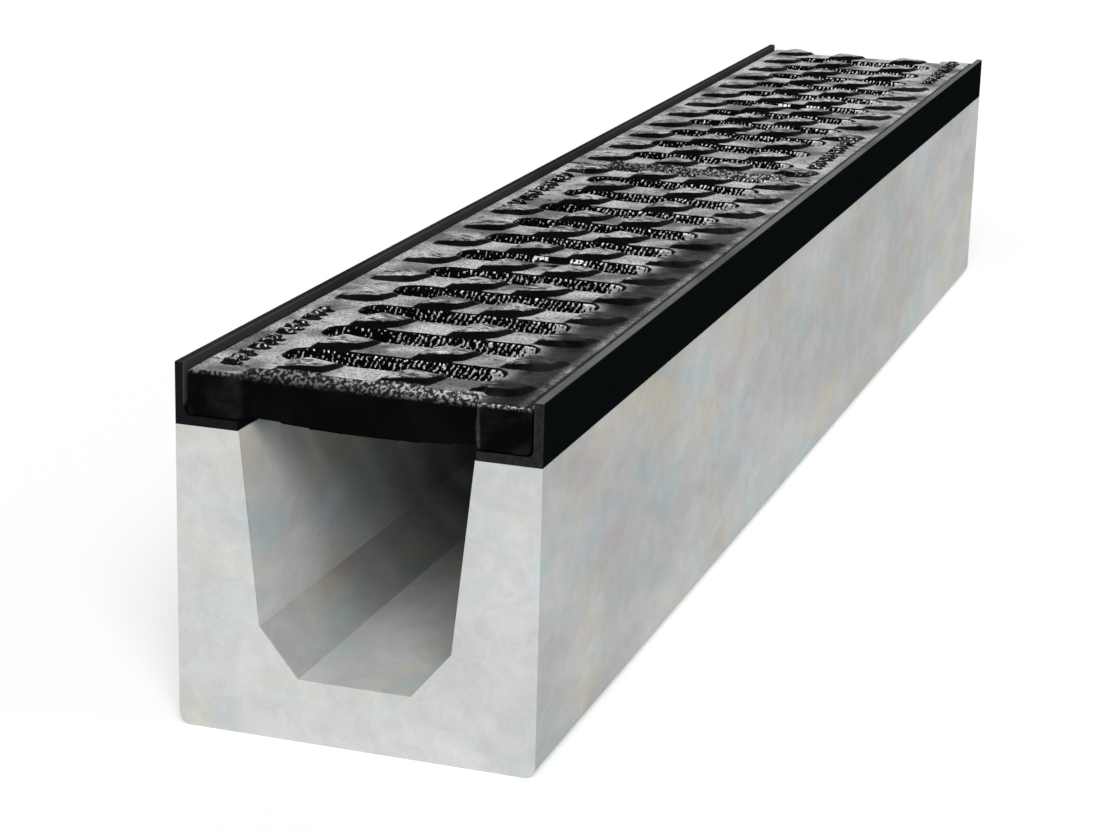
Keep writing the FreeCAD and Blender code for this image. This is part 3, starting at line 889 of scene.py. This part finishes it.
@dataclass
class FlangeStuds:
    """Groups of low oval studs on the stretches of flange that have no pads."""

    across: float = -61.5 * MM
    rows: tuple[tuple[float, int], ...] = ((-436.0 * MM, 4), (-92.0 * MM, 4))
    group_pitch: float = 27.5 * MM
    studs: int = 3
    stud_pitch: float = 7.6 * MM
    half_length: float = 6.5 * MM
    half_width: float = 3.6 * MM
    base: float = 155.0 * MM
    top: float = 159.4 * MM
    shrink: float = 0.55
    facets: int = 20
    unevenness: float = 0.22
    seed: int = 7

    def places(self) -> list[float]:
        """Where the studs lie along the front casting, row by row and group by group.

        Returns:
            Each stud's middle along the channel.
        """
        found = []
        for middle, groups in self.rows:
            for group in range(groups):
                for stud in range(self.studs):
                    off_row = (group - (groups - 1) / 2) * self.group_pitch
                    off_group = (stud - (self.studs - 1) / 2) * self.stud_pitch
                    found.append(middle + off_row + off_group)
        return found

    def add_to(self, mesh: bpy.types.Mesh, place: Place) -> None:
        """Set the studs on a casting's mesh.

        Args:
            mesh: the mesh to add to.
            place: which grating it is.
        """
        form = bmesh.new()
        form.from_mesh(mesh)
        chance = random.Random(self.seed)
        for along in self.places():
            spot = Vector((self.across * place.turn, along * place.turn, (self.base + self.top) / 2))
            half_length, half_width = (half * (1.0 - self.unevenness * chance.random())
                                       for half in (self.half_length, self.half_width))
            size = Matrix.Diagonal((half_length, half_width, self.top - self.base, 1.0))
            bmesh.ops.create_cone(form, cap_ends=True, segments=self.facets, radius1=1.0, radius2=self.shrink,
                                  depth=1.0, matrix=Matrix.Translation(spot) @ size)
        form.to_mesh(mesh)
        form.free()


@dataclass
class CastGratings:
    """The two gratings as rough castings: every edge softened and every face a little uneven."""

    finish: CastIron = field(default_factory=CastIron)
    studs: FlangeStuds = field(default_factory=FlangeStuds)
    voxel: float = 0.9 * MM
    smoothing: int = 2
    smooth_share: float = 0.5
    most_triangles: int = 188000
    wave: float = 7.0 * MM
    wave_height: float = 0.14 * MM
    ridge: Triple = (2.8 * MM, 2.8 * MM, 8.0 * MM)
    ridge_height: float = 0.28 * MM
    flat_share: float = 0.25
    pad_top: float = 160.0 * MM
    pad_slack: float = 0.05 * MM
    pad_tip_drop: float = 1.2 * MM
    pad_level_share: float = 0.50

    def pad_tops(self, form: bmesh.types.BMesh) -> list[list[bmesh.types.BMVert]]:
        """Find the points of every pad's top.

        Args:
            form: the casting.

        Returns:
            The points, pad by pad.
        """
        left = {point for point in form.verts if point.co.z > self.pad_top - self.pad_slack}
        pads = []
        while left:
            pad, edge_of_pad = [], [left.pop()]
            while edge_of_pad:
                pad.append(edge_of_pad.pop())
                found = {edge.other_vert(pad[-1]) for edge in pad[-1].link_edges} & left
                left -= found
                edge_of_pad.extend(found)
            pads.append(pad)
        return pads

    def crown_pads(self, mesh: bpy.types.Mesh) -> None:
        """Slope the top of each pad down to its two tips, as wear leaves it.

        Args:
            mesh: the welded copy of the CAD node.
        """
        form = bmesh.new()
        form.from_mesh(mesh)
        for pad in self.pad_tops(form):
            spread = [point.co.x for point in pad]
            middle, half = (max(spread) + min(spread)) / 2, (max(spread) - min(spread)) / 2
            for point in pad:
                off_middle = abs(point.co.x - middle) / half
                share = (off_middle - self.pad_level_share) / (1.0 - self.pad_level_share)
                point.co.z -= self.pad_tip_drop * max(share, 0.0)
        form.to_mesh(mesh)
        form.free()

    def soften(self, piece: bpy.types.Object) -> None:
        """Add the modifiers that turn crisp solids into a casting.

        Args:
            piece: a copy of the CAD node.
        """
        remesh = piece.modifiers.new("casting", "REMESH")
        remesh.mode = "VOXEL"
        remesh.voxel_size = self.voxel
        smooth = piece.modifiers.new("softened", "SMOOTH")
        smooth.factor = self.smooth_share
        smooth.iterations = self.smoothing

    def roughen(self, mesh: bpy.types.Mesh) -> None:
        """Move every point a little along its normal by a fixed noise, in upright ridges on the walls.

        Args:
            mesh: the casting's mesh.
        """
        points, normals = point_values(mesh, "co"), point_values(mesh, "normal")
        walls = 1.0 - np.abs(normals[:, 2])
        waves = np.array([noise.noise(Vector(point)) for point in points / self.wave])
        ridges = np.array([noise.noise(Vector(point)) for point in points / np.array(self.ridge)])
        reach = waves * self.wave_height
        reach += ridges * self.ridge_height * (self.flat_share + (1.0 - self.flat_share) * walls)
        mesh.vertices.foreach_set("co", (points + normals * reach[:, None]).astype(np.float32).ravel())
        mesh.update()

    def thin_out(self, piece: bpy.types.Object) -> None:
        """Drop points where the casting is flat, down to the most triangles that it may have.

        Args:
            piece: the roughened casting.
        """
        triangles = sum(len(face.vertices) - 2 for face in piece.data.polygons)
        decimate = piece.modifiers.new("thinned", "DECIMATE")
        decimate.ratio = min(1.0, self.most_triangles / triangles)

    @staticmethod
    def keep_within(piece: bpy.types.Object, node: bpy.types.Object) -> None:
        """Pull points that stand out of the CAD node's box back to it.

        Args:
            piece: the casting.
            node: the CAD node that it replaces.
        """
        solid = point_values(node.data, "co")
        points = np.clip(point_values(piece.data, "co"), solid.min(axis=0), solid.max(axis=0))
        piece.data.vertices.foreach_set("co", points.ravel())
        piece.data.update()

    def build(self, nodes: Nodes) -> list[bpy.types.Object]:
        """Make both castings.

        Args:
            nodes: the CAD nodes by name.

        Returns:
            The castings.
        """
        iron = self.finish.material()
        castings = []
        for place in Place:
            node = f"grating_{place.value}"
            piece = welded_copy(f"casting_{place.value}", nodes[node])
            self.crown_pads(piece.data)
            self.studs.add_to(piece.data, place)
            self.soften(piece)
            settle(piece)
            self.roughen(piece.data)
            self.thin_out(piece)
            settle(piece)
            self.keep_within(piece, nodes[node])
            piece.data.shade_smooth()
            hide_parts(node)
            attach(piece, "root")
            dress(piece, iron)
            castings.append(piece)
        return castings


@dataclass
class Fixings:
    """The bolts, the bars that they pull up and the anchors of the rails, as the CAD has them."""

    bolt: Steel = Steel("bolt_steel", (0.30, 0.30, 0.29), (0.10, 0.10, 0.10), 0.004)
    bar: Steel = Steel("bar_zinc", (0.56, 0.57, 0.58), (0.34, 0.35, 0.36), 0.009)
    anchor: Steel = Steel("anchor_steel", (0.36, 0.35, 0.34), (0.16, 0.13, 0.11), 0.006)

    def build(self, nodes: Nodes) -> list[bpy.types.Object]:
        """Dress every fixing.

        Args:
            nodes: the CAD nodes by name.

        Returns:
            The fixings.
        """
        dressed = []
        finishes = {"lock_bolt_": self.bolt, "lock_bar_": self.bar, "rail_anchor_": self.anchor}
        for prefix, finish in finishes.items():
            material = finish.material()
            for name in sorted(nodes):
                if name.startswith(prefix):
                    dress(nodes[name], material)
                    dressed.append(nodes[name])
        return dressed


@dataclass
class Studio:
    """A white floor, an even white surround and one wide soft lamp."""

    floor_white: Colour = (0.90, 0.90, 0.90)
    floor_lift: float = 0.25
    floor_reach: float = 60.0
    surround: float = 0.385
    lamp_power: float = 0.725
    lamp_from: Triple = (0.30, -0.72, 0.63)
    lamp_width: float = 34.0

    def lay_floor(self) -> None:
        """Lay the floor under the channel."""
        form = bmesh.new()
        bmesh.ops.create_grid(form, x_segments=1, y_segments=1, size=self.floor_reach)
        mesh = bpy.data.meshes.new("floor")
        form.to_mesh(mesh)
        form.free()
        floor = bpy.data.objects.new("floor", mesh)
        bpy.context.scene.collection.objects.link(floor)
        graph = ShaderGraph("floor_white")
        graph.set(base_color=(*self.floor_white, 1.0), roughness=1.0, specular_ior_level=0.0,
                  emission_color=WHITE,
                  emission_strength=graph.times(self.seen(graph.tree), self.floor_lift))
        dress(floor, graph.material)

    @staticmethod
    def seen(tree: bpy.types.NodeTree) -> Socket:
        """Whether a ray comes from the camera, a reflection or a clear body.

        Args:
            tree: the nodes to add to.

        Returns:
            1 for such a ray and otherwise 0.
        """
        path = tree.nodes.new("ShaderNodeLightPath")
        found = path.outputs["Is Camera Ray"]
        for name in ("Is Glossy Ray", "Is Transmission Ray"):
            either = tree.nodes.new("ShaderNodeMath")
            either.operation = "MAXIMUM"
            tree.links.new(found, either.inputs[0])
            tree.links.new(path.outputs[name], either.inputs[1])
            found = either.outputs[0]
        return found

    def surround_white(self) -> None:
        """Make the surround white to look at, and softer as a light."""
        world = bpy.data.worlds.new("surround")
        world.use_nodes = True
        bpy.context.scene.world = world
        nodes, links = world.node_tree.nodes, world.node_tree.links
        nodes.clear()
        lit, shown = nodes.new("ShaderNodeBackground"), nodes.new("ShaderNodeBackground")
        lit.inputs["Strength"].default_value = self.surround
        for background in (lit, shown):
            background.inputs["Color"].default_value = WHITE
        mixed = nodes.new("ShaderNodeMixShader")
        links.new(self.seen(world.node_tree), mixed.inputs[0])
        links.new(lit.outputs[0], mixed.inputs[1])
        links.new(shown.outputs[0], mixed.inputs[2])
        links.new(mixed.outputs[0], nodes.new("ShaderNodeOutputWorld").inputs["Surface"])

    def hang_lamp(self) -> None:
        """Hang the wide lamp."""
        lamp = bpy.data.lights.new("wide_lamp", "SUN")
        lamp.energy = self.lamp_power * math.pi
        lamp.angle = math.radians(self.lamp_width)
        holder = bpy.data.objects.new("wide_lamp", lamp)
        holder.rotation_mode = "QUATERNION"
        holder.rotation_quaternion = Vector(self.lamp_from).to_track_quat("Z", "Y")
        bpy.context.scene.collection.objects.link(holder)

    def build(self) -> None:
        """Set up the studio."""
        self.lay_floor()
        self.surround_white()
        self.hang_lamp()


@dataclass(frozen=True)
class Viewpoint:
    """The camera, where the photograph was taken from."""

    location: Triple = (0.39686, -1.45764, 0.44720)
    azimuth: float = 18.12
    elevation: float = 16.17
    roll: float = 1.52
    lens: float = 87.2
    sensor: float = 36.0
    nearest: float = 0.05
    farthest: float = 200.0

    def build(self) -> None:
        """Set up the camera."""
        turn, tilt = math.radians(self.azimuth), math.radians(self.elevation)
        back = Vector((math.sin(turn) * math.cos(tilt), -math.cos(turn) * math.cos(tilt), math.sin(tilt)))
        data = bpy.data.cameras.new("viewpoint")
        data.sensor_fit = "HORIZONTAL"
        data.sensor_width = self.sensor
        data.lens = self.lens
        data.clip_start = self.nearest
        data.clip_end = self.farthest
        camera = bpy.data.objects.new("viewpoint", data)
        camera.rotation_mode = "QUATERNION"
        camera.rotation_quaternion = Quaternion(back, math.radians(self.roll)) @ back.to_track_quat("Z", "Y")
        camera.location = self.location
        bpy.context.scene.collection.objects.link(camera)
        bpy.context.scene.camera = camera


def main() -> None:
    """Load the frame, dress each sub-assembly and set up studio and camera."""
    logging.basicConfig(level=logging.INFO, format="%(name)s: %(message)s")
    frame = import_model()
    bpy.context.scene.view_settings.view_transform = "Standard"
    for assembly in (ChannelBody(), EdgeRails(), CastGratings(), Fixings()):
        for piece in assembly.build(frame["nodes"]):
            LOG.info("%s: %s with %d faces", type(assembly).__name__, piece.name, len(piece.data.polygons))
    Studio().build()
    Viewpoint().build()


if __name__ == "__main__":
    main()
